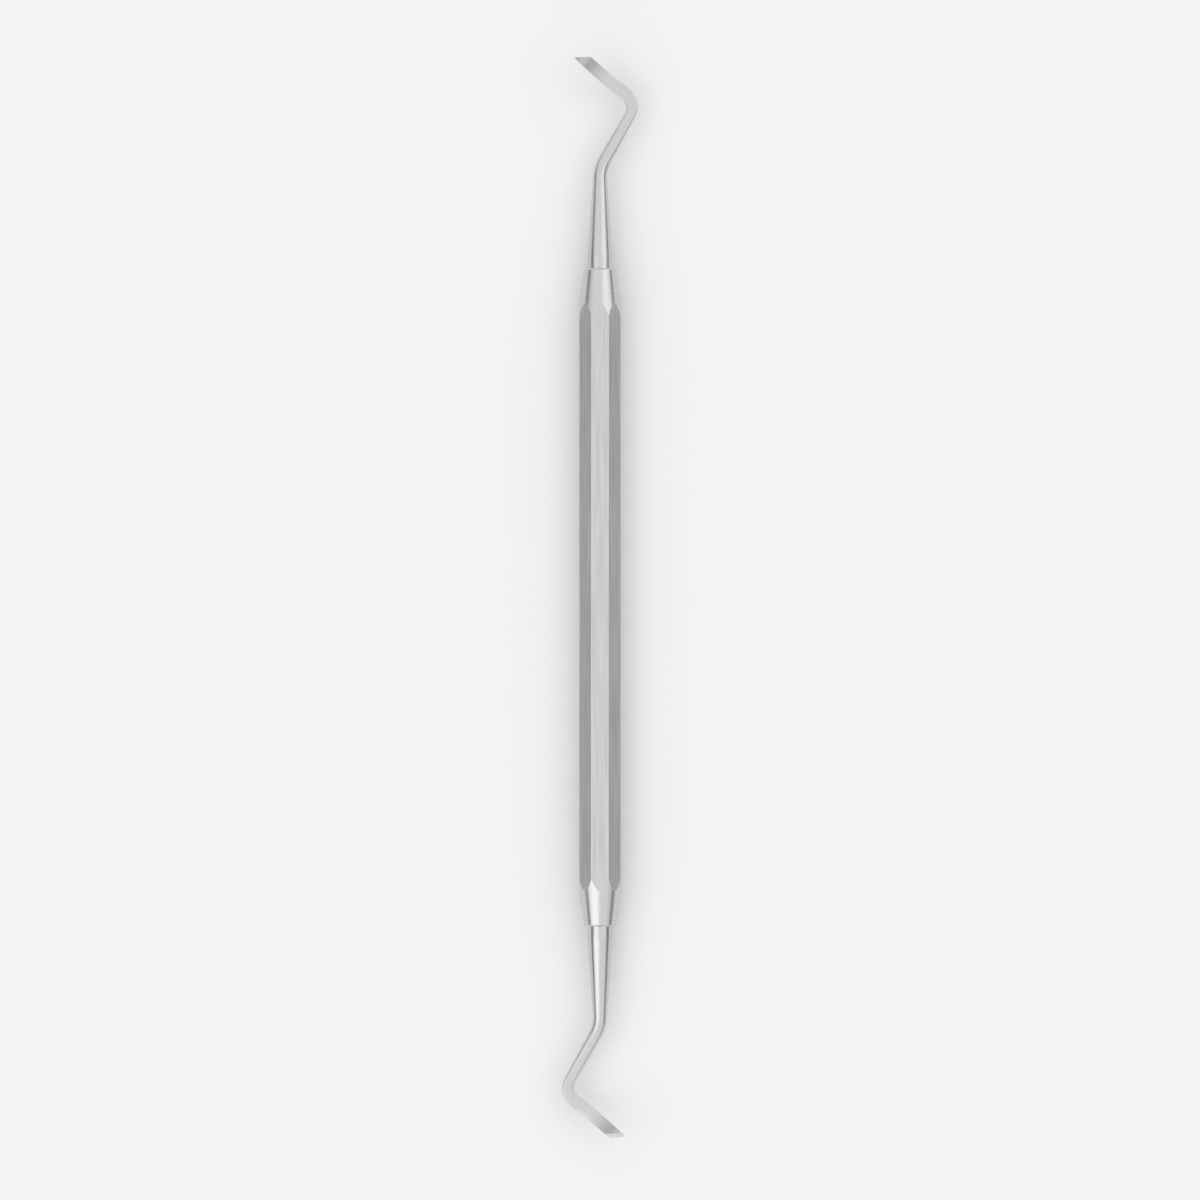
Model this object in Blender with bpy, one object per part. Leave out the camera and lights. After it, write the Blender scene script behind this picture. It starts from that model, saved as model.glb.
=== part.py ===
"""Double-ended hand instrument: a bent working end with a curved blade at each end of a handle.

The handle lies along Y with one of its flats on the ground plane. Both working ends are
first drawn in a frame of their own: the nose face of the handle is at Y = 0, the rod runs
out along +Y, and the hollow side of the blade faces +Z.
"""

import math

import bmesh
import bpy
from mathutils import Vector

MM = 0.001

# Handle
HANDLE_LENGTH = 100.0 * MM
HANDLE_SIDES = 8
HANDLE_ACROSS_FLATS = 6.35 * MM
HANDLE_EDGE_RADIUS = 0.3 * MM
NOSE_LENGTH = 8.0 * MM
NOSE_DIAMETER = 4.9 * MM
NOSE_CHAMFER = 0.2 * MM
BORE_MOUTH_CHAMFER = 0.12 * MM
BORE_END_GAP = 0.6 * MM
DRILL_POINT_ANGLE = math.radians(118.0)
DRILL_POINT_FLAT = 0.1 * MM
CUTTER_OVERLAP = 0.1 * MM

# Rod of a working end, from its tang to the waist
TANG_LENGTH = 14.0 * MM
TANG_CLEARANCE = 0.05 * MM
TANG_CHAMFER = 0.3 * MM
COLLAR_DIAMETER = 3.74 * MM
COLLAR_LENGTH = 1.85 * MM
WAIST_DIAMETER = 2.18 * MM

# Bent shank: the two bends are given by the corners of their centrelines
FIRST_CORNER_REACH = 15.33 * MM
FIRST_BEND_ANGLE = math.radians(29.4)
FIRST_BEND_RADIUS = 6.2 * MM
CORNER_SPACING = 11.47 * MM
SECOND_BEND_ANGLE = math.radians(81.3)
SECOND_BEND_RADIUS = 2.6 * MM
SHANK_WIDTH_AT_FIRST_BEND = 2.02 * MM
SHANK_WIDTH_AT_SECOND_BEND = 1.59 * MM

# Blade: its sweep runs to the middle of the slanted end, and the slant is seen on its face
BLADE_ROOT_WIDTH = 1.88 * MM
BLADE_TIP_WIDTH = 1.78 * MM
BLADE_ROOT_THICKNESS = 1.07 * MM
BLADE_EDGE_RADIUS = 0.07 * MM
BLADE_STRAIGHT_LEAD = 0.4 * MM
BLADE_CURVE_RADIUS = 9.74 * MM
BLADE_SWEEP = math.radians(55.2)
UPPER_TIP_THICKNESS = 0.70 * MM
LOWER_TIP_THICKNESS = 0.81 * MM
END_SLANT_ANGLE = math.radians(31.1)
LOWER_BEVEL_LENGTH = 0.88 * MM

# Fineness of the mesh
CORNER_POINTS = 8
TURNED_SIDES = 64
EDGE_STEPS = 3
FIRST_BEND_STEPS = 9
STRAIGHT_STEPS = 6
SECOND_BEND_STEPS = 16
BLADE_STEPS = 22
BLADE_SPARE_SWEEP = math.radians(10.0)

# Places that follow from the sizes above
AXIS_HEIGHT = HANDLE_ACROSS_FLATS / 2
COLLAR_RADIUS = COLLAR_DIAMETER / 2
BORE_RADIUS = COLLAR_RADIUS + TANG_CLEARANCE
BORE_DEPTH = TANG_LENGTH + BORE_END_GAP
UP = Vector((0.0, 0.0, 1.0))


def between(start, end, share):
    """The value a given share of the way from start to end."""
    return start + (end - start) * share


def heading(angle):
    """Direction in the ground plane, turned from +Y towards +X."""
    return Vector((math.sin(angle), math.cos(angle), 0.0))


def across(angle):
    """Direction to the right of a heading."""
    return Vector((math.cos(angle), -math.sin(angle), 0.0))


class Station:
    """One section of the rod: where it is, how it is turned, and its rounded outline."""

    def __init__(self, centre, wide, deep, width, depth, corner):
        self.centre = centre
        self.wide = wide
        self.deep = deep
        self.width = width
        self.depth = depth
        self.corner = min(corner, width / 2, depth / 2)

    def points(self):
        """The outline: a rectangle with round corners, a circle where the corners meet."""
        found = []
        straight_x = self.width / 2 - self.corner
        straight_z = self.depth / 2 - self.corner
        for quarter, (side_x, side_z) in enumerate(((1, 1), (-1, 1), (-1, -1), (1, -1))):
            for point in range(CORNER_POINTS):
                turn = (quarter + (point + 0.5) / CORNER_POINTS) * math.pi / 2
                x = side_x * straight_x + self.corner * math.cos(turn)
                z = side_z * straight_z + self.corner * math.sin(turn)
                found.append(self.centre + self.wide * x + self.deep * z)
        return found


def round_station(reach, diameter):
    """A round section on the handle's axis."""
    return Station(heading(0.0) * reach, across(0.0), UP, diameter, diameter, diameter / 2)


def loft(outlines):
    """Closed skin through a row of outlines that have equally many points."""
    skin = bmesh.new()
    rings = [[skin.verts.new(point) for point in outline] for outline in outlines]
    for near, far in zip(rings, rings[1:]):
        for index in range(len(near)):
            after = (index + 1) % len(near)
            skin.faces.new((near[index], near[after], far[after], far[index]))
    skin.faces.new(rings[0])
    skin.faces.new(rings[-1])
    bmesh.ops.recalc_face_normals(skin, faces=skin.faces)
    return skin


def turned(profile, sides):
    """Solid of revolution about the Y axis from (reach, radius) pairs."""
    outlines = []
    for reach, radius in profile:
        ring = []
        for side in range(sides):
            turn = 2 * math.pi * (side + 0.5) / sides
            ring.append(Vector((radius * math.cos(turn), reach, radius * math.sin(turn))))
        outlines.append(ring)
    return loft(outlines)


def new_object(name, skin, parent):
    """Named object from a finished bmesh."""
    mesh = bpy.data.meshes.new(name)
    skin.to_mesh(mesh)
    skin.free()
    made = bpy.data.objects.new(name, mesh)
    bpy.context.scene.collection.objects.link(made)
    made.parent = parent
    return made


def smooth(made, crease_degrees):
    """Shade the round faces smooth and keep the edges between flats crisp."""
    made.data.shade_smooth()
    made.data.set_sharp_from_angle(angle=math.radians(crease_degrees))


def steel(name, colour, roughness):
    """Bare stainless steel with a given polish."""
    material = bpy.data.materials.new(name)
    material.use_nodes = True
    shader = material.node_tree.nodes["Principled BSDF"]
    shader.inputs["Base Color"].default_value = (*colour, 1.0)
    shader.inputs["Metallic"].default_value = 1.0
    shader.inputs["Roughness"].default_value = roughness
    return material


def bend_tangent(radius, angle):
    """Distance from a bend's corner to where the bend starts."""
    return radius * math.tan(angle / 2)


def bend(start, start_angle, turn, radius, steps):
    """Centres and headings round a bend; a positive turn leans to +X."""
    side = math.copysign(1.0, turn)
    centre = start + across(start_angle) * side * radius
    for step in range(steps + 1):
        angle = start_angle + turn * step / steps
        yield centre - across(angle) * side * radius, angle


def shank_stations():
    """Sections of the bent shank, from the waist to the root of the blade."""
    first_tangent = bend_tangent(FIRST_BEND_RADIUS, FIRST_BEND_ANGLE)
    second_tangent = bend_tangent(SECOND_BEND_RADIUS, SECOND_BEND_ANGLE)
    first_start = heading(0.0) * (FIRST_CORNER_REACH - first_tangent)
    first = list(bend(first_start, 0.0, FIRST_BEND_ANGLE, FIRST_BEND_RADIUS, FIRST_BEND_STEPS))
    straight_length = CORNER_SPACING - first_tangent - second_tangent
    straight_start, slope = first[-1]
    second_start = straight_start + heading(slope) * straight_length
    second = list(bend(second_start, slope, -SECOND_BEND_ANGLE, SECOND_BEND_RADIUS,
                       SECOND_BEND_STEPS))

    places = []
    for step, (centre, angle) in enumerate(first):
        share = step / FIRST_BEND_STEPS
        width = between(WAIST_DIAMETER, SHANK_WIDTH_AT_FIRST_BEND, share)
        places.append((centre, angle, width))
    for step in range(1, STRAIGHT_STEPS):
        share = step / STRAIGHT_STEPS
        centre = between(straight_start, second_start, share)
        width = between(SHANK_WIDTH_AT_FIRST_BEND, SHANK_WIDTH_AT_SECOND_BEND, share)
        places.append((centre, slope, width))
    for step, (centre, angle) in enumerate(second):
        share = step / SECOND_BEND_STEPS
        width = between(SHANK_WIDTH_AT_SECOND_BEND, BLADE_ROOT_WIDTH, share)
        places.append((centre, angle, width))

    lengths = [0.0]
    for (near, _, _), (far, _, _) in zip(places, places[1:]):
        lengths.append(lengths[-1] + (far - near).length)
    stations = []
    for length, (centre, angle, width) in zip(lengths, places):
        share = length / lengths[-1]
        depth = between(WAIST_DIAMETER, BLADE_ROOT_THICKNESS, share)
        corner = between(WAIST_DIAMETER / 2, BLADE_EDGE_RADIUS, share)
        stations.append(Station(centre, across(angle), UP, width, depth, corner))
    return stations


class Blade:
    """The curved blade, placed from the end of the second bend."""

    def __init__(self, root, tip_thickness):
        self.root = root
        self.forward = heading(FIRST_BEND_ANGLE - SECOND_BEND_ANGLE)
        self.side = across(FIRST_BEND_ANGLE - SECOND_BEND_ANGLE)
        self.tip_thickness = tip_thickness
        half_slant = BLADE_TIP_WIDTH / 2 / math.tan(END_SLANT_ANGLE) / BLADE_CURVE_RADIUS
        self.long_sweep = BLADE_SWEEP + half_slant
        self.long_reach = self.middle_reach(self.long_sweep)
        self.short_reach = self.middle_reach(BLADE_SWEEP - half_slant)

    def middle_reach(self, turn):
        """Reach of the blade's middle surface along the ground, for a given sweep."""
        return BLADE_STRAIGHT_LEAD + BLADE_CURVE_RADIUS * math.sin(turn)

    def stations(self):
        """Sections along the curve, running a little past the slanted end."""
        stations = []
        for step in range(1, BLADE_STEPS + 1):
            turn = (self.long_sweep + BLADE_SPARE_SWEEP) * step / BLADE_STEPS
            rise = BLADE_CURVE_RADIUS * (1 - math.cos(turn))
            centre = self.root + self.forward * self.middle_reach(turn) + UP * rise
            deep = UP * math.cos(turn) - self.forward * math.sin(turn)
            share = turn / self.long_sweep
            width = between(BLADE_ROOT_WIDTH, BLADE_TIP_WIDTH, share)
            thickness = between(BLADE_ROOT_THICKNESS, self.tip_thickness, share)
            stations.append(Station(centre, self.side, deep, width, thickness, BLADE_EDGE_RADIUS))
        return stations

    def face_point(self, reach, aside, radius):
        """Point of the hollow or the outer face, by its reach along the ground."""
        turn = math.asin((reach - BLADE_STRAIGHT_LEAD) / radius)
        height = BLADE_CURVE_RADIUS - radius * math.cos(turn)
        return self.root + self.forward * reach + self.side * aside + UP * height

    def upright_cut(self):
        """Plane of the upper end: square to the ground, with its edge on the hollow face."""
        half_width = self.side * BLADE_TIP_WIDTH / 2
        long_corner = self.root + self.forward * self.long_reach - half_width
        short_corner = self.root + self.forward * self.short_reach + half_width
        normal = UP.cross(long_corner - short_corner).normalized()
        return long_corner, self.pointing_out(normal)

    def bevel_cut(self):
        """Plane of the lower end: a bevel through the thickness, with its edge on the outer face.

        Its edge and its start run as near to parallel, seen from above, as one flat cut allows.
        """
        outer_radius = BLADE_CURVE_RADIUS + self.tip_thickness / 2
        hollow_radius = BLADE_CURVE_RADIUS - self.tip_thickness / 2
        half_width = BLADE_TIP_WIDTH / 2
        long_start = self.long_reach - LOWER_BEVEL_LENGTH
        short_start = self.short_reach - LOWER_BEVEL_LENGTH
        edge_long = self.face_point(self.long_reach, -half_width, outer_radius)
        edge_short = self.face_point(self.short_reach, half_width, outer_radius)
        start_long = self.face_point(long_start, -half_width, hollow_radius)
        start_short = self.face_point(short_start, half_width, hollow_radius)
        edge_run = (edge_long - edge_short).normalized()
        start_run = (start_long - start_short).normalized()
        edge_middle = (edge_long + edge_short) / 2
        depth = edge_middle - (start_long + start_short) / 2
        normal = (edge_run + start_run).cross(depth).normalized()
        return edge_middle, self.pointing_out(normal)

    def pointing_out(self, normal):
        """The same plane's normal, turned the way that the blade runs at its end."""
        running = self.forward * math.cos(BLADE_SWEEP) + UP * math.sin(BLADE_SWEEP)
        return normal if normal.dot(running) > 0 else -normal


def cut_off(skin, verts, point, normal):
    """Takes off what stands out past a plane, among the faces on these vertices, and caps it."""
    found = set(verts)
    edges = [edge for edge in skin.edges if found.issuperset(edge.verts)]
    faces = [face for face in skin.faces if found.issuperset(face.verts)]
    bmesh.ops.bisect_plane(skin, geom=verts + edges + faces, plane_co=point, plane_no=normal,
                           clear_outer=True)
    rim = [edge for edge in skin.edges if edge.is_boundary]
    bmesh.ops.holes_fill(skin, edges=rim, sides=0)
    bmesh.ops.recalc_face_normals(skin, faces=skin.faces)


def make_working_end(name, parent, tip_thickness, find_cut, finish):
    """Tang, collar, cone, bent shank and curved blade, as one rod with a slanted end."""
    shank = shank_stations()
    waist_reach = shank[0].centre.y
    blade = Blade(shank[-1].centre, tip_thickness)
    rod = [
        round_station(-TANG_LENGTH, COLLAR_DIAMETER - 2 * TANG_CHAMFER),
        round_station(-TANG_LENGTH + TANG_CHAMFER, COLLAR_DIAMETER),
        round_station(COLLAR_LENGTH, COLLAR_DIAMETER),
        round_station(between(COLLAR_LENGTH, waist_reach, 0.5),
                      between(COLLAR_DIAMETER, WAIST_DIAMETER, 0.5)),
    ]
    stations = rod + shank + blade.stations()
    skin = loft([station.points() for station in stations])

    blade_verts = skin.verts[-BLADE_STEPS * 4 * CORNER_POINTS:]
    cut_off(skin, blade_verts, *find_cut(blade))

    made = new_object(name, skin, parent)
    made.data.materials.append(finish)
    smooth(made, crease_degrees=32.0)
    return made


def octagonal_bar(length):
    """Bar along Y with rounded long edges; two of its flats are level."""
    corner_radius = HANDLE_ACROSS_FLATS / 2 / math.cos(math.pi / HANDLE_SIDES)
    bar = turned([(-length / 2, corner_radius), (length / 2, corner_radius)], HANDLE_SIDES)
    long_edges = []
    for edge in bar.edges:
        run = edge.verts[1].co - edge.verts[0].co
        if abs(run.y) > length / 2:
            long_edges.append(edge)
    setback = HANDLE_EDGE_RADIUS * math.tan(math.pi / HANDLE_SIDES)
    bmesh.ops.bevel(bar, geom=long_edges, offset=setback, offset_type="OFFSET",
                    segments=EDGE_STEPS, profile=0.5, affect="EDGES")
    return bar


def nose_envelope():
    """Turned shape that the bar is kept inside of: full size, with a cone at each nose."""
    half = HANDLE_LENGTH / 2
    nose_radius = NOSE_DIAMETER / 2
    full_radius = HANDLE_ACROSS_FLATS / 2 / math.cos(math.pi / HANDLE_SIDES) + CUTTER_OVERLAP
    one_side = [
        (half, nose_radius - NOSE_CHAMFER),
        (half - NOSE_CHAMFER, nose_radius),
        (half - NOSE_LENGTH, full_radius),
    ]
    other_side = [(-reach, radius) for reach, radius in reversed(one_side)]
    return turned(one_side + other_side, TURNED_SIDES)


def bore_shape():
    """Blind bore of a nose, in the frame of a working end, with a chamfered mouth."""
    point_depth = (BORE_RADIUS - DRILL_POINT_FLAT) / math.tan(DRILL_POINT_ANGLE / 2)
    profile = [
        (CUTTER_OVERLAP, BORE_RADIUS + BORE_MOUTH_CHAMFER + CUTTER_OVERLAP),
        (-BORE_MOUTH_CHAMFER, BORE_RADIUS),
        (-BORE_DEPTH, BORE_RADIUS),
        (-BORE_DEPTH - point_depth, DRILL_POINT_FLAT),
    ]
    return turned(profile, 4 * CORNER_POINTS)


def make_cutter(name, skin, parent):
    """Shape that only serves a Boolean."""
    cutter = new_object(name, skin, parent)
    cutter.hide_render = True
    cutter.display_type = "WIRE"
    return cutter


def add_boolean(made, name, operation, cutter):
    """Boolean modifier with the exact solver."""
    modifier = made.modifiers.new(name, "BOOLEAN")
    modifier.operation = operation
    modifier.solver = "EXACT"
    modifier.object = cutter


def make_handle(parent, seats, finish):
    """Octagonal bar with turned noses and a blind bore for each working end."""
    made = new_object("handle", octagonal_bar(HANDLE_LENGTH + 2 * CUTTER_OVERLAP), parent)
    made.data.materials.append(finish)
    envelope = make_cutter("nose_envelope", nose_envelope(), parent)
    add_boolean(made, "turned_noses", "INTERSECT", envelope)
    for side, seat in seats.items():
        cutter = make_cutter(side + "_bore_cutter", bore_shape(), seat)
        add_boolean(made, side + "_bore", "DIFFERENCE", cutter)
    smooth(made, crease_degrees=20.0)
    return made


def make_empty(name, parent, location, turn):
    """Empty that others are placed by."""
    empty = bpy.data.objects.new(name, None)
    bpy.context.scene.collection.objects.link(empty)
    empty.parent = parent
    empty.location = location
    empty.rotation_euler = (0.0, 0.0, turn)
    return empty


def main():
    for old in list(bpy.data.objects):
        bpy.data.objects.remove(old, do_unlink=True)
    satin = steel("satin_stainless_steel", colour=(0.60, 0.61, 0.62), roughness=0.36)
    polished = steel("polished_stainless_steel", colour=(0.72, 0.73, 0.73), roughness=0.2)

    axis = make_empty("instrument_axis", None, (0.0, 0.0, AXIS_HEIGHT), 0.0)
    seats = {
        "upper": make_empty("upper_seat", axis, (0.0, HANDLE_LENGTH / 2, 0.0), 0.0),
        "lower": make_empty("lower_seat", axis, (0.0, -HANDLE_LENGTH / 2, 0.0), math.pi),
    }
    make_handle(axis, seats, satin)
    make_working_end("upper_working_end", seats["upper"], UPPER_TIP_THICKNESS,
                     Blade.upright_cut, polished)
    make_working_end("lower_working_end", seats["lower"], LOWER_TIP_THICKNESS,
                     Blade.bevel_cut, polished)


main()
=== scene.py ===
"""Finishes a double-ended steel hand instrument: satin handle, buffed rods, ground blades.

The handle's length, width and place come from the frame. A rod is drawn on axes of its own,
with the handle's nose face at Y = 0 and the hollow side of the blade facing +Z, and is then
carried to its end of the handle. Lengths are in metres where nothing else is said.
"""

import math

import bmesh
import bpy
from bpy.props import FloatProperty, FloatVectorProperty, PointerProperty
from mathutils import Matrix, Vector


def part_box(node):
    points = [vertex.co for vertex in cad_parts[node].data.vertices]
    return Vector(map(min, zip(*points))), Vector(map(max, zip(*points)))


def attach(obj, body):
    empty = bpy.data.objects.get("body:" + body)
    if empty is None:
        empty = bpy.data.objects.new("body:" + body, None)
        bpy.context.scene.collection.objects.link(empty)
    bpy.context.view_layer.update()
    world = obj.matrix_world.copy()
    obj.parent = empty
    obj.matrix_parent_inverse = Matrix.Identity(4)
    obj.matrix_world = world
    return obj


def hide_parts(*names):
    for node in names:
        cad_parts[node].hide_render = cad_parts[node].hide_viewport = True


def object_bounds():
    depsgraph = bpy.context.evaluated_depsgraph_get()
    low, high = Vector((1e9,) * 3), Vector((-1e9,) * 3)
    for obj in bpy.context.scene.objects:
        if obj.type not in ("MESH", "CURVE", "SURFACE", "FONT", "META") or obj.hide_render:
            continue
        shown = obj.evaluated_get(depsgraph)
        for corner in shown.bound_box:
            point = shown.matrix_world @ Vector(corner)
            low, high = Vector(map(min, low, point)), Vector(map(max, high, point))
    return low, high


bl_info = {
    "name": "Steel Hand Instrument",
    "version": (1, 0, 0),
    "blender": (4, 5, 0),
    "location": "3D View > Sidebar > Instrument",
    "description": "Builds a double-ended hand instrument with curved, slanted blades",
    "category": "Add Mesh",
}

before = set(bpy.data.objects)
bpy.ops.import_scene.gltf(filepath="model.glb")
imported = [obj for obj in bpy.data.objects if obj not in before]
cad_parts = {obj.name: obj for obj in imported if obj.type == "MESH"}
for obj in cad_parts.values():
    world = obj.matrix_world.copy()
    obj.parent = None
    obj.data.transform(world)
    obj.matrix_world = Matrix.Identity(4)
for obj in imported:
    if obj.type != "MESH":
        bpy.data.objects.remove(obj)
CAD_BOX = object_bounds()

MM = 0.001
UP = Vector((0.0, 0.0, 1.0))

# Read from the frame: the handle's bar and how deep the rods sit in it
HANDLE_LOW, HANDLE_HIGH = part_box("handle")
HANDLE_HALF_LENGTH = (HANDLE_HIGH.y - HANDLE_LOW.y) / 2
HANDLE_MIDDLE = (HANDLE_LOW + HANDLE_HIGH) / 2
ACROSS_FLATS = HANDLE_HIGH.z - HANDLE_LOW.z
TANG_LENGTH = HANDLE_HIGH.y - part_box("upper_working_end")[0].y


def linear(hex_colour):
    """Linear RGB of an sRGB hex value."""
    channels = [int(hex_colour[start:start + 2], 16) / 255 for start in (0, 2, 4)]
    return tuple(c / 12.92 if c <= 0.04045 else ((c + 0.055) / 1.055) ** 2.4 for c in channels)


def length_setting(name, description, default_mm):
    """A length that can be set in the sidebar, with its default in millimetres."""
    return FloatProperty(name=name, description=description, default=default_mm * MM,
                         min=0.0, precision=5, subtype="DISTANCE", unit="LENGTH")


def angle_setting(name, description, default_degrees):
    """An angle that can be set in the sidebar, with its default in degrees."""
    return FloatProperty(name=name, description=description, default=math.radians(default_degrees),
                         subtype="ANGLE", unit="ROTATION")


def colour_setting(name, description, hex_colour):
    """A colour that can be set in the sidebar, with its default as sRGB hex."""
    return FloatVectorProperty(name=name, description=description, default=linear(hex_colour),
                               min=0.0, max=1.0, subtype="COLOR")


class HandleSizes(bpy.types.PropertyGroup):
    """Sizes of the octagonal handle that its box in the frame doesn't tell."""

    nose_diameter: length_setting("Nose diameter", "Width of the flat face round the rod", 4.9)
    nose_length: length_setting("Nose length", "Reach of the turned cone", 8.0)
    cone_overrun: length_setting("Cone overrun", "How far outside sharp corners the cone ends", 0.1)
    nose_chamfer: length_setting("Nose chamfer", "Broken edge of the nose face", 0.2)
    edge_radius: length_setting("Edge radius", "Rounding of the eight long edges", 0.3)
    bore_clearance: length_setting("Bore clearance", "Gap between the rod and its bore", 0.05)
    mouth_chamfer: length_setting("Bore mouth chamfer", "Broken edge of the bore", 0.12)
    bore_end_gap: length_setting("Bore end gap", "Room between the rod's end and the bore's", 0.6)


class RodSizes(bpy.types.PropertyGroup):
    """Sizes of the rod from its tang to the root of the blade."""

    collar_diameter: length_setting("Collar diameter", "Width of the rod at the handle", 3.74)
    collar_length: length_setting("Collar length", "Parallel length before the cone", 1.85)
    collar_easing: length_setting("Collar easing", "Length over which the cone sets in", 0.7)
    tang_chamfer: length_setting("Tang chamfer", "Broken edge inside the handle", 0.3)
    waist_diameter: length_setting("Waist diameter", "Width where the first bend starts", 2.18)
    first_corner: length_setting("First corner", "Reach of the first bend's corner", 15.33)
    first_angle: angle_setting("First bend", "Turn of the first bend", 29.4)
    first_radius: length_setting("First bend radius", "Centreline radius", 6.2)
    corner_spacing: length_setting("Corner spacing", "From the first corner to the second", 11.47)
    second_angle: angle_setting("Second bend", "Turn back of the second bend", 81.3)
    second_radius: length_setting("Second bend radius", "Centreline radius", 2.6)
    width_after_first: length_setting("Width after first bend", "Seen from above", 2.02)
    width_before_second: length_setting("Width before second bend", "Seen from above", 1.59)


class BladeSizes(bpy.types.PropertyGroup):
    """Sizes of the curved blades and their slanted ends."""

    root_width: length_setting("Root width", "Width where the blade starts", 1.88)
    tip_width: length_setting("Tip width", "Width at the slanted end", 1.78)
    root_thickness: length_setting("Root thickness", "Thickness where the blade starts", 1.07)
    upper_tip_thickness: length_setting("Upper tip thickness", "At the upright cut", 0.70)
    lower_tip_thickness: length_setting("Lower tip thickness", "At the bevel", 0.81)
    edge_radius: length_setting("Edge radius", "Broken long edges of the blade", 0.07)
    straight_lead: length_setting("Straight lead", "Flat length before the curve", 0.4)
    curve_radius: length_setting("Curve radius", "Radius of the blade's middle surface", 9.74)
    sweep: angle_setting("Sweep", "Turn of the curve up to the middle of the end", 55.2)
    slant: angle_setting("Slant", "Angle between the end and the blade's length", 31.1)
    bevel_length: length_setting("Bevel length", "Ground length of the lower end", 0.88)


class Finishes(bpy.types.PropertyGroup):
    """Colours of the steels and of the table."""

    drawn: colour_setting("Drawn bar", "Satin stainless steel of the handle", "D4D4D3")
    turned: colour_setting("Turned nose", "Lathe-turned stainless steel", "D4D4D3")
    buffed: colour_setting("Buffed rod", "Polished stainless steel of the rods", "D1D1D0")
    ground: colour_setting("Ground facet", "Freshly ground stainless steel", "E3E3E2")
    # The bore wall's colour is darkened to paint the shade that falls inside the bore
    bore: colour_setting("Bore wall", "Drilled steel in the shade", "787877")
    table: colour_setting("Table", "Matt white paper below the instrument", "F4F4F2")


class Studio(bpy.types.PropertyGroup):
    """How the instrument is lit and framed."""

    lens: FloatProperty(name="Lens", description="Focal length in millimetres", default=160.0,
                        subtype="DISTANCE_CAMERA", unit="CAMERA")
    top_margin: FloatProperty(name="Top margin", description="Pixels above the instrument",
                              default=59.0, subtype="PIXEL")
    bottom_margin: FloatProperty(name="Bottom margin", description="Pixels below the instrument",
                                 default=64.0, subtype="PIXEL")
    image_size: FloatProperty(name="Image size", description="Pixels along the square image",
                              default=1200.0, subtype="PIXEL")
    key_power: FloatProperty(name="Key light", description="Power of the first soft box in watts",
                             default=1.4, subtype="POWER", unit="POWER")
    fill_power: FloatProperty(name="Fill light", description="Power of the second soft box in watts",
                              default=0.9, subtype="POWER", unit="POWER")


def between(start, end, share):
    """The value a given share of the way from start to end."""
    return start + (end - start) * share


def heading(angle):
    """Direction in the ground plane, turned from +Y towards +X."""
    return Vector((math.sin(angle), math.cos(angle), 0.0))


def across(angle):
    """Direction to the right of a heading."""
    return Vector((math.cos(angle), -math.sin(angle), 0.0))


# Skins through rows of outlines, with a map in millimetres: round the outline, then along it

MAP_NAME = "millimetres"
CREASE_ANGLE = math.radians(28.0)

# How much the large flat faces lead the shading, where 100 is the most
FLATS_LEAD = 100


def running_lengths(points, unit=1.0):
    """Distance along a row of points, at each of them, in metres or in the unit given."""
    lengths = [0.0]
    for near, far in zip(points, points[1:]):
        lengths.append(lengths[-1] + (far - near).length / unit)
    return lengths


def lengths_round(outline):
    """Millimetres round an outline at each of its points, and once more at the first."""
    return running_lengths(outline + outline[:1], MM)


def loft(outlines, maps, band_slots):
    """Closed skin through a row of outlines, with a material for each band between two.

    maps holds a map place for each point of each outline, and once more for its first point.
    """
    skin = bmesh.new()
    mapping = skin.loops.layers.uv.new(MAP_NAME)
    rings = [[skin.verts.new(point) for point in outline] for outline in outlines]
    for row, slot in enumerate(band_slots):
        for step in range(len(rings[row])):
            corners = ((row, step), (row, step + 1), (row + 1, step + 1), (row + 1, step))
            face = skin.faces.new([rings[at][place % len(rings[at])] for at, place in corners])
            face.material_index = slot
            for loop, (at, place) in zip(face.loops, corners):
                loop[mapping].uv = maps[at][place]
    for end in (0, -1):
        skin.faces.new(rings[end]).material_index = band_slots[end]
    bmesh.ops.recalc_face_normals(skin, faces=skin.faces)
    return skin


def map_flat(face, mapping, edge_run):
    """Maps a flat face in millimetres: along its cutting edge, then square to that."""
    other = face.normal.cross(edge_run).normalized()
    for loop in face.loops:
        loop[mapping].uv = (loop.vert.co.dot(edge_run) / MM, loop.vert.co.dot(other) / MM)


def add_piece(name, skin, materials, node):
    """Object that stands for a node of the model, crisp where it is folded or changes finish."""
    for edge in skin.edges:
        finishes_met = {face.material_index for face in edge.link_faces}
        edge.smooth = edge.calc_face_angle(0.0) < CREASE_ANGLE and len(finishes_met) == 1
    for face in skin.faces:
        face.smooth = True
    mesh = bpy.data.meshes.new(name)
    skin.to_mesh(mesh)
    skin.free()
    for material in materials:
        mesh.materials.append(material)
    piece = bpy.data.objects.new(name, mesh)
    bpy.context.scene.collection.objects.link(piece)
    flats = piece.modifiers.new("flats_stay_flat", "WEIGHTED_NORMAL")
    flats.keep_sharp = True
    flats.weight = FLATS_LEAD
    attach(piece, "root")
    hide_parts(node)
    return piece


# The handle: an octagonal bar with rounded edges, whose ends are turned down to cones

HANDLE_SIDES = 8
DRILL_POINT_ANGLE = math.radians(118.0)
DRILL_POINT_FLAT = 0.1 * MM

# Bands of the skin at either end: two in the bore, then its mouth, the face and the broken edge
BORE_BANDS = 2
FACE_BANDS = 3
CONE_BANDS = 6

# Where the bar's first full outline lies, as a share of its half length
BAR_FIRST_ROW = 0.8


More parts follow.
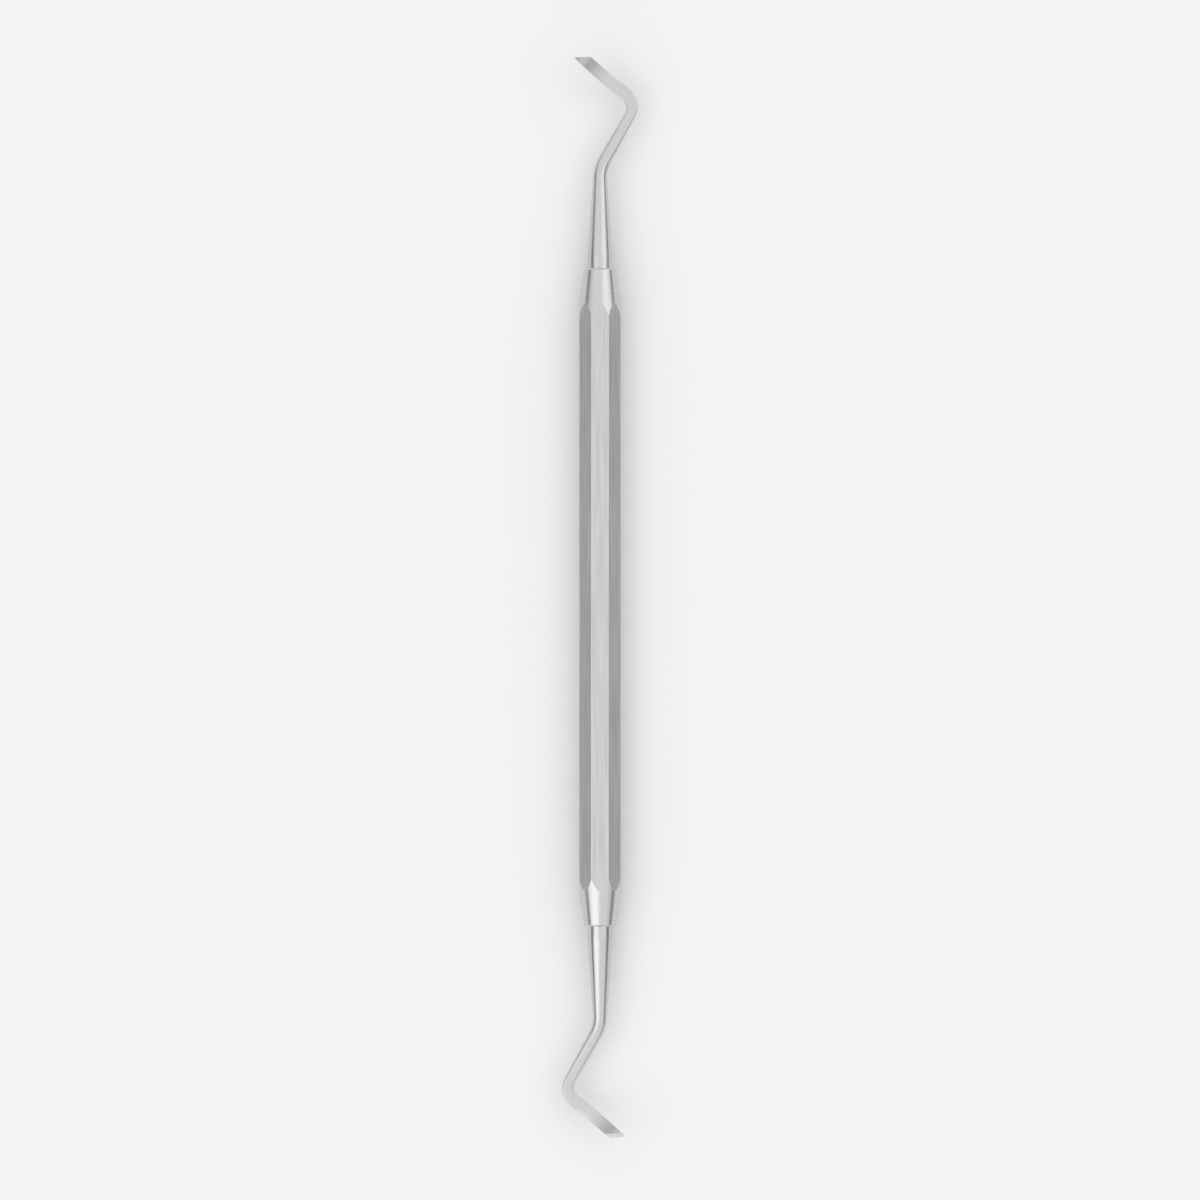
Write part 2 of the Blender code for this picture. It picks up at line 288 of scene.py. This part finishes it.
class Bar:
    """The handle's octagonal section, in polar form about the axis."""

    flat_steps = 8
    edge_steps = 8

    def __init__(self, edge_radius):
        self.half = ACROSS_FLATS / 2
        self.edge_radius = edge_radius
        self.half_side = math.pi / HANDLE_SIDES
        self.edge_centre = (self.half - edge_radius) / math.cos(self.half_side)
        self.flat_end = math.atan(self.edge_centre * math.sin(self.half_side) / self.half)

    def radius(self, turn):
        """Distance from the axis to the surface at a turn from the middle of any flat."""
        aside = abs((turn + self.half_side) % (2 * self.half_side) - self.half_side)
        if aside <= self.flat_end:
            return self.half / math.cos(aside)
        from_edge = self.half_side - aside
        rest_squared = self.edge_radius ** 2 - (self.edge_centre * math.sin(from_edge)) ** 2
        return self.edge_centre * math.cos(from_edge) + math.sqrt(rest_squared)

    def turns(self):
        """Turns round the section, close together over the rounded edges."""
        found = []
        next_flat = 2 * self.half_side - self.flat_end
        for side in range(HANDLE_SIDES):
            middle = 2 * self.half_side * side
            for step in range(self.flat_steps):
                found.append(middle + between(-self.flat_end, self.flat_end, step / self.flat_steps))
            for step in range(self.edge_steps):
                found.append(middle + between(self.flat_end, next_flat, step / self.edge_steps))
        return found


def end_profile(handle, rod, bar, turn):
    """Reach and radius at one turn, from the bottom of a bore out, over the nose and to the bar."""
    bore = rod.collar_diameter / 2 + handle.bore_clearance
    nose = handle.nose_diameter / 2
    depth = HANDLE_HALF_LENGTH - TANG_LENGTH - handle.bore_end_gap
    point_depth = depth - (bore - DRILL_POINT_FLAT) / math.tan(DRILL_POINT_ANGLE / 2)
    cone_start = HANDLE_HALF_LENGTH - handle.nose_chamfer
    cone_end = bar.half / math.cos(bar.half_side) + handle.cone_overrun
    slope = (cone_end - nose) / (handle.nose_length - handle.nose_chamfer)
    crossing = cone_start - (bar.radius(turn) - nose) / slope
    profile = [
        (point_depth, DRILL_POINT_FLAT),
        (depth, bore),
        (HANDLE_HALF_LENGTH - handle.mouth_chamfer, bore),
        (HANDLE_HALF_LENGTH, bore + handle.mouth_chamfer),
        (HANDLE_HALF_LENGTH, nose - handle.nose_chamfer),
    ]
    for step in range(CONE_BANDS + 1):
        share = step / CONE_BANDS
        profile.append((between(cone_start, crossing, share),
                        between(nose, bar.radius(turn), share)))
    profile.append((BAR_FIRST_ROW * HANDLE_HALF_LENGTH, bar.radius(turn)))
    return profile


def make_handle_piece(sizes, rod, materials):
    """The handle as one closed skin: bore, nose, bar, nose, bore.

    materials holds those of the drawn bar, the turned noses and the bores, in that order.
    """
    bar = Bar(sizes.edge_radius)
    turns = bar.turns()
    profiles = []
    for turn in turns:
        end = end_profile(sizes, rod, bar, turn)
        profiles.append(end + [(-reach, radius) for reach, radius in reversed(end)])
    around = [Vector((math.cos(turn), 0.0, math.sin(turn))) for turn in turns]
    steps_round = lengths_round([way * bar.radius(turn) for way, turn in zip(around, turns)])

    outlines = []
    maps = []
    for row in range(len(profiles[0])):
        places = [profile[row] for profile in profiles]
        outlines.append([HANDLE_MIDDLE + way * radius + Vector((0.0, reach, 0.0))
                         for way, (reach, radius) in zip(around, places)])
        reaches = [reach / MM for reach, _ in places + places[:1]]
        maps.append(list(zip(steps_round, reaches)))

    drawn, turned, bore = range(3)
    end_bands = [bore] * BORE_BANDS + [turned] * (FACE_BANDS + CONE_BANDS) + [drawn]
    skin = loft(outlines, maps, end_bands + [drawn] + end_bands[::-1])
    return add_piece("octagonal_handle", skin, materials, "handle")


# The rods: tang, collar, cone, two bends and a curved blade with a slanted end

# Points round each corner of a section, and sections along each stretch
CORNER_STEPS = 12
COLLAR_STEPS = 10
CONE_STEPS = 24
FIRST_BEND_STEPS = 28
STRAIGHT_STEPS = 20
SECOND_BEND_STEPS = 48
BLADE_STEPS = 64

# How far the blade is drawn past its end before it is cut
SPARE_SWEEP = math.radians(10.0)


class Section:
    """One section of a rod: where it is, how it is turned, and its rounded outline."""

    def __init__(self, centre, wide, deep, width, depth, corner):
        self.centre = centre
        self.wide = wide
        self.deep = deep
        self.width = width
        self.depth = depth
        self.corner = min(corner, width / 2, depth / 2)

    def outline(self):
        """A rectangle with round corners, or a circle; it starts in the middle of the back."""
        found = []
        straight_x = self.width / 2 - self.corner
        straight_z = self.depth / 2 - self.corner
        for quarter, (side_x, side_z) in enumerate(((1, -1), (1, 1), (-1, 1), (-1, -1))):
            for step in range(CORNER_STEPS):
                turn = (quarter - 1 + (step + 0.5) / CORNER_STEPS) * math.pi / 2
                x = side_x * straight_x + self.corner * math.cos(turn)
                z = side_z * straight_z + self.corner * math.sin(turn)
                found.append(self.centre + self.wide * x + self.deep * z)
        return found

    def map_row(self, along):
        """Map places round the outline, with zero in the middle of the face."""
        lengths = lengths_round(self.outline())
        closing = lengths[-1] - lengths[-2]
        return [(length + (closing - lengths[-1]) / 2, along / MM) for length in lengths]


def round_section(reach, radius):
    """A round section on the handle's axis."""
    return Section(heading(0.0) * reach, across(0.0), UP, 2 * radius, 2 * radius, radius)


def bend_tangent(radius, angle):
    """Distance from a bend's corner to where the bend starts."""
    return radius * math.tan(angle / 2)


def waist_reach(rod):
    """Distance from the handle to the waist, where the first bend starts."""
    return rod.first_corner - bend_tangent(rod.first_radius, rod.first_angle)


def bend(start, start_angle, turn, radius, steps):
    """Centres and headings round a bend; a positive turn leans to +X."""
    side = math.copysign(1.0, turn)
    centre = start + across(start_angle) * side * radius
    for step in range(steps + 1):
        angle = start_angle + turn * step / steps
        yield centre - across(angle) * side * radius, angle


def cone_sections(rod):
    """Tang, collar and the long cone down to the waist, with the cone set in softly."""
    collar = rod.collar_diameter / 2
    waist = waist_reach(rod)
    slope = (collar - rod.waist_diameter / 2) / (waist - rod.collar_length)
    easing_start = rod.collar_length - rod.collar_easing / 2
    easing_end = rod.collar_length + rod.collar_easing / 2
    sections = [
        round_section(-TANG_LENGTH, collar - rod.tang_chamfer),
        round_section(-TANG_LENGTH + rod.tang_chamfer, collar),
        round_section(0.0, collar),
    ]
    for step in range(COLLAR_STEPS + 1):
        into = rod.collar_easing * step / COLLAR_STEPS
        radius = collar - slope * into ** 2 / (2 * rod.collar_easing)
        sections.append(round_section(easing_start + into, radius))
    for step in range(1, CONE_STEPS):
        reach = between(easing_end, waist, step / CONE_STEPS)
        sections.append(round_section(reach, collar - slope * (reach - rod.collar_length)))
    return sections


def shank_sections(rod, blade):
    """The bent shank, round at the waist and flat where the blade starts."""
    first_start = heading(0.0) * waist_reach(rod)
    first = list(bend(first_start, 0.0, rod.first_angle, rod.first_radius, FIRST_BEND_STEPS))
    straight_start, lean = first[-1]
    straight = rod.corner_spacing - bend_tangent(rod.first_radius, rod.first_angle)
    straight -= bend_tangent(rod.second_radius, rod.second_angle)
    second_start = straight_start + heading(lean) * straight
    second = list(bend(second_start, lean, -rod.second_angle, rod.second_radius, SECOND_BEND_STEPS))

    places = []
    for step, (centre, angle) in enumerate(first):
        width = between(rod.waist_diameter, rod.width_after_first, step / FIRST_BEND_STEPS)
        places.append((centre, angle, width))
    for step in range(1, STRAIGHT_STEPS):
        share = step / STRAIGHT_STEPS
        width = between(rod.width_after_first, rod.width_before_second, share)
        places.append((between(straight_start, second_start, share), lean, width))
    for step, (centre, angle) in enumerate(second):
        width = between(rod.width_before_second, blade.root_width, step / SECOND_BEND_STEPS)
        places.append((centre, angle, width))

    lengths = running_lengths([centre for centre, _, _ in places])
    sections = []
    for length, (centre, angle, width) in zip(lengths, places):
        share = length / lengths[-1]
        depth = between(rod.waist_diameter, blade.root_thickness, share)
        corner = between(rod.waist_diameter / 2, blade.edge_radius, share)
        sections.append(Section(centre, across(angle), UP, width, depth, corner))
    return sections


class Blade:
    """The curved blade, placed from the end of the second bend."""

    def __init__(self, sizes, root, angle, tip_thickness):
        self.sizes = sizes
        self.root = root
        self.forward = heading(angle)
        self.side = across(angle)
        self.tip_thickness = tip_thickness
        half_slant = sizes.tip_width / 2 / math.tan(sizes.slant) / sizes.curve_radius
        self.long_sweep = sizes.sweep + half_slant
        self.long_reach = self.middle_reach(self.long_sweep)
        self.short_reach = self.middle_reach(sizes.sweep - half_slant)

    def middle_reach(self, turn):
        """Reach of the blade's middle surface along the ground, for a given sweep."""
        return self.sizes.straight_lead + self.sizes.curve_radius * math.sin(turn)

    def sections(self):
        """Sections along the curve, running a little past the slanted end."""
        sizes = self.sizes
        found = []
        for step in range(1, BLADE_STEPS + 1):
            turn = (self.long_sweep + SPARE_SWEEP) * step / BLADE_STEPS
            rise = sizes.curve_radius * (1 - math.cos(turn))
            centre = self.root + self.forward * self.middle_reach(turn) + UP * rise
            deep = UP * math.cos(turn) - self.forward * math.sin(turn)
            share = turn / self.long_sweep
            width = between(sizes.root_width, sizes.tip_width, share)
            thickness = between(sizes.root_thickness, self.tip_thickness, share)
            found.append(Section(centre, self.side, deep, width, thickness, sizes.edge_radius))
        return found

    def face_point(self, reach, aside, radius):
        """Point of the hollow or the outer face, by its reach along the ground."""
        turn = math.asin((reach - self.sizes.straight_lead) / radius)
        height = self.sizes.curve_radius - radius * math.cos(turn)
        return self.root + self.forward * reach + self.side * aside + UP * height

    def upright_cut(self):
        """Plane of the upper end: square to the ground, with its edge on the hollow face."""
        half_width = self.side * self.sizes.tip_width / 2
        long_corner = self.root + self.forward * self.long_reach - half_width
        short_corner = self.root + self.forward * self.short_reach + half_width
        edge_run = (long_corner - short_corner).normalized()
        return long_corner, self.pointing_out(UP.cross(edge_run)), edge_run

    def bevel_cut(self):
        """Plane of the lower end: a bevel through the thickness, with its edge on the outer face.

        Its edge and its start run as near to parallel, seen from above, as one flat cut allows.
        """
        outer = self.sizes.curve_radius + self.tip_thickness / 2
        hollow = self.sizes.curve_radius - self.tip_thickness / 2
        half_width = self.sizes.tip_width / 2
        edge_long = self.face_point(self.long_reach, -half_width, outer)
        edge_short = self.face_point(self.short_reach, half_width, outer)
        start_long = self.face_point(self.long_reach - self.sizes.bevel_length, -half_width, hollow)
        start_short = self.face_point(self.short_reach - self.sizes.bevel_length, half_width, hollow)
        edge_run = (edge_long - edge_short).normalized()
        start_run = (start_long - start_short).normalized()
        edge_middle = (edge_long + edge_short) / 2
        depth = edge_middle - (start_long + start_short) / 2
        normal = (edge_run + start_run).cross(depth).normalized()
        return edge_middle, self.pointing_out(normal), edge_run

    def pointing_out(self, normal):
        """The same plane's normal, turned the way that the blade runs at its end."""
        running = self.forward * math.cos(self.sizes.sweep) + UP * math.sin(self.sizes.sweep)
        return normal if normal.dot(running) > 0 else -normal


def grind_end(skin, blade_verts, point, normal, edge_run, slot):
    """Cuts the blade off along a plane and closes it with one ground face."""
    found = set(blade_verts)
    edges = [edge for edge in skin.edges if found.issuperset(edge.verts)]
    faces = [face for face in skin.faces if found.issuperset(face.verts)]
    bmesh.ops.bisect_plane(skin, geom=blade_verts + edges + faces, plane_co=point,
                           plane_no=normal, clear_outer=True)
    rim = [edge for edge in skin.edges if edge.is_boundary]
    facets = bmesh.ops.holes_fill(skin, edges=rim, sides=0)["faces"]
    bmesh.ops.recalc_face_normals(skin, faces=skin.faces)
    for facet in facets:
        facet.material_index = slot
        map_flat(facet, skin.loops.layers.uv.active, edge_run)


def make_rod(name, node, side, tip_thickness, find_cut, rod, blade_sizes, materials):
    """One working end: side is 1 for the end at +Y and -1 for the end at -Y.

    materials holds those of the buffed rod and of the ground end, in that order.
    """
    shank = shank_sections(rod, blade_sizes)
    angle = rod.first_angle - rod.second_angle
    blade = Blade(blade_sizes, shank[-1].centre, angle, tip_thickness)
    sections = cone_sections(rod) + shank + blade.sections()
    outlines = [section.outline() for section in sections]
    alongs = running_lengths([section.centre for section in sections])
    maps = [section.map_row(along) for section, along in zip(sections, alongs)]
    buffed, ground = range(2)
    skin = loft(outlines, maps, [buffed] * (len(sections) - 1))

    # The cut is kept to the blade's own points, which were made last
    skin.verts.ensure_lookup_table()
    blade_verts = skin.verts[-BLADE_STEPS * len(outlines[-1]):]
    grind_end(skin, blade_verts, *find_cut(blade), ground)

    seat = Matrix.Translation(HANDLE_MIDDLE + Vector((0.0, side * HANDLE_HALF_LENGTH, 0.0)))
    half_turn = Matrix.Rotation(0.0 if side > 0 else math.pi, 4, "Z")
    skin.transform(seat @ half_turn)
    return add_piece(name, skin, materials, node)


# Steels and paper, with the sizes of their patterns in millimetres

# The stretch of a noise's values that a finish is spread over, for sheen and for tone
SHEEN_SPAN = (0.3, 0.7)
TONE_SPAN = (0.32, 0.68)

# How much duller or brighter the steel gets from line to line, and slowly from place to place
LINE_SWING = 0.15
CLOUD_SWING = 0.08
CLOUD_WIDTH = 9.0

# A ring runs all the way round, so its line is drawn far longer than any piece's girth
RING_RUN = 2000.0

# The paper's tooth
TOOTH_WIDTH = 0.4
TOOTH_DEPTH = 0.02


def add_node(tree, kind, settings=(), inputs=()):
    """Adds a shader node; an input takes a value, or a link where it is given a socket."""
    node = tree.nodes.new(kind)
    for name, value in dict(settings).items():
        setattr(node, name, value)
    for name, value in dict(inputs).items():
        if isinstance(value, bpy.types.NodeSocket):
            tree.links.new(value, node.inputs[name])
        else:
            node.inputs[name].default_value = value
    return node


def start_material(name):
    """New material, with its nodes and the shader that they feed."""
    material = bpy.data.materials.new(name)
    material.use_nodes = True
    tree = material.node_tree
    return material, tree, tree.nodes["Principled BSDF"]


def bare_steel(name, colour, roughness, line_size, line_depth, line_tone):
    """Stainless steel worked in fine lines.

    line_size is a line's size in millimetres, round the piece and along it, and line_depth its
    depth. line_tone is how much darker the steel is in the lines, as a share.
    """
    material, tree, shader = start_material(name)
    shader.inputs["Metallic"].default_value = 1.0
    millimetres = add_node(tree, "ShaderNodeUVMap", {"uv_map": MAP_NAME}).outputs["UV"]
    stretched = add_node(tree, "ShaderNodeMapping", inputs={
        "Vector": millimetres,
        "Scale": (1 / line_size[0], 1 / line_size[1], 1.0),
    }).outputs["Vector"]
    lines = add_node(tree, "ShaderNodeTexNoise", {"noise_dimensions": "2D"}, {
        "Vector": stretched, "Scale": 1.0, "Detail": 3.0, "Roughness": 0.6,
    }).outputs["Fac"]
    place = add_node(tree, "ShaderNodeTexCoord").outputs["Object"]
    clouds = add_node(tree, "ShaderNodeTexNoise", inputs={
        "Vector": place, "Scale": 1 / (CLOUD_WIDTH * MM), "Detail": 2.0,
    }).outputs["Fac"]

    line_roughness = add_node(tree, "ShaderNodeMapRange", inputs={
        "Value": lines, "From Min": SHEEN_SPAN[0], "From Max": SHEEN_SPAN[1],
        "To Min": roughness * (1 - LINE_SWING), "To Max": roughness * (1 + LINE_SWING),
    }).outputs["Result"]
    cloud_share = add_node(tree, "ShaderNodeMapRange", inputs={
        "Value": clouds, "From Min": SHEEN_SPAN[0], "From Max": SHEEN_SPAN[1],
        "To Min": 1 - CLOUD_SWING, "To Max": 1 + CLOUD_SWING,
    }).outputs["Result"]
    mixed_roughness = add_node(tree, "ShaderNodeMath", {"operation": "MULTIPLY"},
                               {0: line_roughness, 1: cloud_share}).outputs["Value"]
    tree.links.new(mixed_roughness, shader.inputs["Roughness"])

    darker = tuple(channel * (1 - line_tone) for channel in colour)
    tone = add_node(tree, "ShaderNodeValToRGB", inputs={"Fac": lines})
    for stop, position, shade in zip(tone.color_ramp.elements, TONE_SPAN, (darker, colour)):
        stop.position = position
        stop.color = (*shade, 1.0)
    tree.links.new(tone.outputs["Color"], shader.inputs["Base Color"])

    bump = add_node(tree, "ShaderNodeBump", inputs={
        "Height": lines, "Strength": 1.0, "Distance": line_depth * MM,
    })
    tree.links.new(bump.outputs["Normal"], shader.inputs["Normal"])
    return material


def drawn_stainless_bar(finishes):
    """Cold-drawn bar rubbed lengthwise: a soft sheen in long straight lines.

    The real lines are about 0.02 mm apart, too fine to show, and are drawn 0.3 mm apart.
    """
    return bare_steel("drawn_stainless_bar", finishes.drawn, roughness=0.34,
                      line_size=(0.3, 14.0), line_depth=0.005, line_tone=0.14)


def turned_stainless_nose(finishes):
    """Lathe-turned cone: rings round the axis that catch the light in a fan.

    The real feed marks are about 0.05 mm apart and are drawn 0.25 mm apart.
    """
    return bare_steel("turned_stainless_nose", finishes.turned, roughness=0.27,
                      line_size=(RING_RUN, 0.25), line_depth=0.004, line_tone=0.08)


def buffed_stainless_rod(finishes):
    """Rod polished lengthwise on a soft wheel: bright, with faint long wipes.

    The real wipes are finer than 0.01 mm and are drawn 0.35 mm apart.
    """
    return bare_steel("buffed_stainless_rod", finishes.buffed, roughness=0.28,
                      line_size=(0.35, 6.0), line_depth=0.0015, line_tone=0.05)


def ground_stainless_facet(finishes):
    """Facet left by a fine wheel: flat and bright, with short strokes square to the edge.

    The real strokes are about 0.01 mm apart and are drawn 0.12 mm apart.
    """
    return bare_steel("ground_stainless_facet", finishes.ground, roughness=0.16,
                      line_size=(0.12, 3.0), line_depth=0.0008, line_tone=0.08)


def drilled_bore_painted_shade(finishes):
    """Drilled wall in the shade of the rod, its colour darkened to paint that shade: dull rings left
    by the drill.

    The real rings are about 0.1 mm apart and are drawn 0.3 mm apart.
    """
    return bare_steel("drilled_bore_painted_shade", finishes.bore, roughness=0.55,
                      line_size=(RING_RUN, 0.3), line_depth=0.006, line_tone=0.2)


def matt_paper(finishes):
    """Uncoated white paper, dried without pressing it smooth: no gloss, with a faint tooth.

    The real tooth is about 0.1 mm wide and is drawn 0.4 mm wide.
    """
    material, tree, shader = start_material("matt_paper")
    shader.inputs["Base Color"].default_value = (*finishes.table, 1.0)
    shader.inputs["Roughness"].default_value = 0.95
    shader.inputs["Specular IOR Level"].default_value = 0.2
    place = add_node(tree, "ShaderNodeTexCoord").outputs["Object"]
    tooth = add_node(tree, "ShaderNodeTexNoise", inputs={
        "Vector": place, "Scale": 1 / (TOOTH_WIDTH * MM), "Detail": 2.0,
    }).outputs["Fac"]
    bump = add_node(tree, "ShaderNodeBump", inputs={
        "Height": tooth, "Strength": 0.3, "Distance": TOOTH_DEPTH * MM,
    })
    tree.links.new(bump.outputs["Normal"], shader.inputs["Normal"])
    return material


# The studio: paper table, soft boxes, pale room and the camera straight above

TABLE_HALF_WIDTH = 12.0
KEY_PLACE = (-0.55, -0.40, 0.70)
FILL_PLACE = (0.65, 0.40, 0.60)
SOFT_BOX_WIDTH = 0.9

# The room gets lighter with height, given as the sine of the angle above the ground
ROOM_HEIGHTS = (0.05, 0.70)
ROOM_LIGHTS = (0.50, 0.93)
ROOM_STRENGTH = 1.04

# The cards darken the room sideways: from where, to where, and to what share of its light
CARD_START = 0.86
CARD_FULL = 0.97
CARD_LIGHT = 0.15

# Width of the camera's sensor, in millimetres as its lens is
SENSOR_WIDTH = 36.0

# The camera sees from a hundredth of its distance to a hundred times it
CLIP_RATIO = 100


def make_table(finishes):
    """Large sheet of paper at the height that the handle rests on."""
    sheet = bmesh.new()
    bmesh.ops.create_grid(sheet, x_segments=2, y_segments=2, size=TABLE_HALF_WIDTH)
    mesh = bpy.data.meshes.new("paper_table")
    sheet.to_mesh(mesh)
    sheet.free()
    mesh.materials.append(matt_paper(finishes))
    table = bpy.data.objects.new("paper_table", mesh)
    table.location = (0.0, 0.0, CAD_BOX[0].z)
    bpy.context.scene.collection.objects.link(table)


def add_soft_box(name, place, power):
    """Square soft box aimed at the middle of the instrument."""
    light = bpy.data.lights.new(name, "AREA")
    light.shape = "SQUARE"
    light.size = SOFT_BOX_WIDTH
    light.energy = power
    lamp = bpy.data.objects.new(name, light)
    lamp.location = place
    lamp.rotation_euler = (-Vector(place)).to_track_quat("-Z", "Y").to_euler()
    bpy.context.scene.collection.objects.link(lamp)


def light_room(studio):
    """Two soft boxes in a pale room, brightest overhead, with a dark card at either side.

    The cards draw a thin dark line along each edge of the steel.
    """
    add_soft_box("key_soft_box", KEY_PLACE, studio.key_power)
    add_soft_box("fill_soft_box", FILL_PLACE, studio.fill_power)
    room = bpy.data.worlds.new("pale_room")
    room.use_nodes = True
    tree = room.node_tree
    way = add_node(tree, "ShaderNodeTexCoord").outputs["Generated"]
    parts = add_node(tree, "ShaderNodeSeparateXYZ", inputs={"Vector": way}).outputs
    tone = add_node(tree, "ShaderNodeValToRGB", inputs={"Fac": parts["Z"]})
    for stop, height, grey in zip(tone.color_ramp.elements, ROOM_HEIGHTS, ROOM_LIGHTS):
        stop.position = height
        stop.color = (grey, grey, grey, 1.0)
    sideways = add_node(tree, "ShaderNodeMath", {"operation": "ABSOLUTE"}, {0: parts["X"]})
    card = add_node(tree, "ShaderNodeMapRange", {"interpolation_type": "SMOOTHSTEP"}, {
        "Value": sideways.outputs["Value"],
        "From Min": CARD_START, "From Max": CARD_FULL, "To Min": 1.0, "To Max": CARD_LIGHT,
    })
    shaded = add_node(tree, "ShaderNodeVectorMath", {"operation": "SCALE"}, {
        "Vector": tone.outputs["Color"], "Scale": card.outputs["Result"],
    })
    background = tree.nodes["Background"]
    tree.links.new(shaded.outputs["Vector"], background.inputs["Color"])
    background.inputs["Strength"].default_value = ROOM_STRENGTH
    bpy.context.scene.world = room


def place_camera(studio):
    """Camera straight above, +Y up, framed by the margins round the instrument."""
    low, high = CAD_BOX
    shown = studio.image_size - studio.top_margin - studio.bottom_margin
    pixel = (high.y - low.y) / shown
    frame_height = pixel * studio.image_size
    half_view = math.atan(SENSOR_WIDTH / 2 / studio.lens)
    data = bpy.data.cameras.new("camera_above")
    data.lens = studio.lens
    data.sensor_width = SENSOR_WIDTH
    camera = bpy.data.objects.new("camera_above", data)
    drop = pixel * (studio.bottom_margin - studio.top_margin) / 2
    distance = frame_height / 2 / math.tan(half_view)
    camera.location = ((low.x + high.x) / 2, (low.y + high.y) / 2 - drop,
                       HANDLE_MIDDLE.z + distance)
    data.clip_start = distance / CLIP_RATIO
    data.clip_end = distance * CLIP_RATIO
    bpy.context.scene.collection.objects.link(camera)
    bpy.context.scene.camera = camera


class INSTRUMENT_OT_handle(bpy.types.Operator):
    """Make the octagonal handle with its turned noses and bores"""

    bl_idname = "instrument.handle"
    bl_label = "Make Handle"

    def execute(self, context):
        scene = context.scene
        finishes = scene.instrument_finishes
        materials = [drawn_stainless_bar(finishes), turned_stainless_nose(finishes),
                     drilled_bore_painted_shade(finishes)]
        make_handle_piece(scene.instrument_handle, scene.instrument_rod, materials)
        return {"FINISHED"}


class INSTRUMENT_OT_working_ends(bpy.types.Operator):
    """Make both working ends, with their bent shanks and curved blades"""

    bl_idname = "instrument.working_ends"
    bl_label = "Make Working Ends"

    def execute(self, context):
        scene = context.scene
        finishes = scene.instrument_finishes
        rod = scene.instrument_rod
        blade = scene.instrument_blade
        materials = [buffed_stainless_rod(finishes), ground_stainless_facet(finishes)]
        make_rod("upper_blade_rod", "upper_working_end", 1, blade.upper_tip_thickness,
                 Blade.upright_cut, rod, blade, materials)
        make_rod("lower_blade_rod", "lower_working_end", -1, blade.lower_tip_thickness,
                 Blade.bevel_cut, rod, blade, materials)
        return {"FINISHED"}


class INSTRUMENT_OT_studio(bpy.types.Operator):
    """Make the paper table, the soft light and the camera"""

    bl_idname = "instrument.studio"
    bl_label = "Make Studio"

    def execute(self, context):
        scene = context.scene
        make_table(scene.instrument_finishes)
        light_room(scene.instrument_studio)
        place_camera(scene.instrument_studio)
        scene.view_settings.view_transform = "Standard"
        return {"FINISHED"}


class VIEW3D_PT_instrument(bpy.types.Panel):
    """Sizes, finishes and the buttons that build the instrument"""

    bl_label = "Hand Instrument"
    bl_space_type = "VIEW_3D"
    bl_region_type = "UI"
    bl_category = "Instrument"

    def draw(self, context):
        layout = self.layout
        layout.use_property_split = True
        for title, group_name, group in SETTINGS:
            settings = getattr(context.scene, group_name)
            column = layout.column(align=True)
            column.label(text=title)
            for setting in group.__annotations__:
                column.prop(settings, setting)
        for operator in OPERATORS:
            layout.operator(operator.bl_idname)


SETTINGS = (
    ("Handle", "instrument_handle", HandleSizes),
    ("Rods", "instrument_rod", RodSizes),
    ("Blades", "instrument_blade", BladeSizes),
    ("Finishes", "instrument_finishes", Finishes),
    ("Studio", "instrument_studio", Studio),
)
OPERATORS = (INSTRUMENT_OT_studio, INSTRUMENT_OT_handle, INSTRUMENT_OT_working_ends)


def register():
    """Adds the settings, the operators and the panel to Blender."""
    for _, group_name, group in SETTINGS:
        bpy.utils.register_class(group)
        setattr(bpy.types.Scene, group_name, PointerProperty(type=group))
    for operator in OPERATORS:
        bpy.utils.register_class(operator)
    bpy.utils.register_class(VIEW3D_PT_instrument)


def unregister():
    """Takes them out again."""
    bpy.utils.unregister_class(VIEW3D_PT_instrument)
    for operator in reversed(OPERATORS):
        bpy.utils.unregister_class(operator)
    for _, group_name, group in SETTINGS:
        delattr(bpy.types.Scene, group_name)
        bpy.utils.unregister_class(group)


def main():
    """Builds the scene."""
    register()
    bpy.ops.instrument.studio()
    bpy.ops.instrument.handle()
    bpy.ops.instrument.working_ends()


if __name__ == "__main__":
    main()
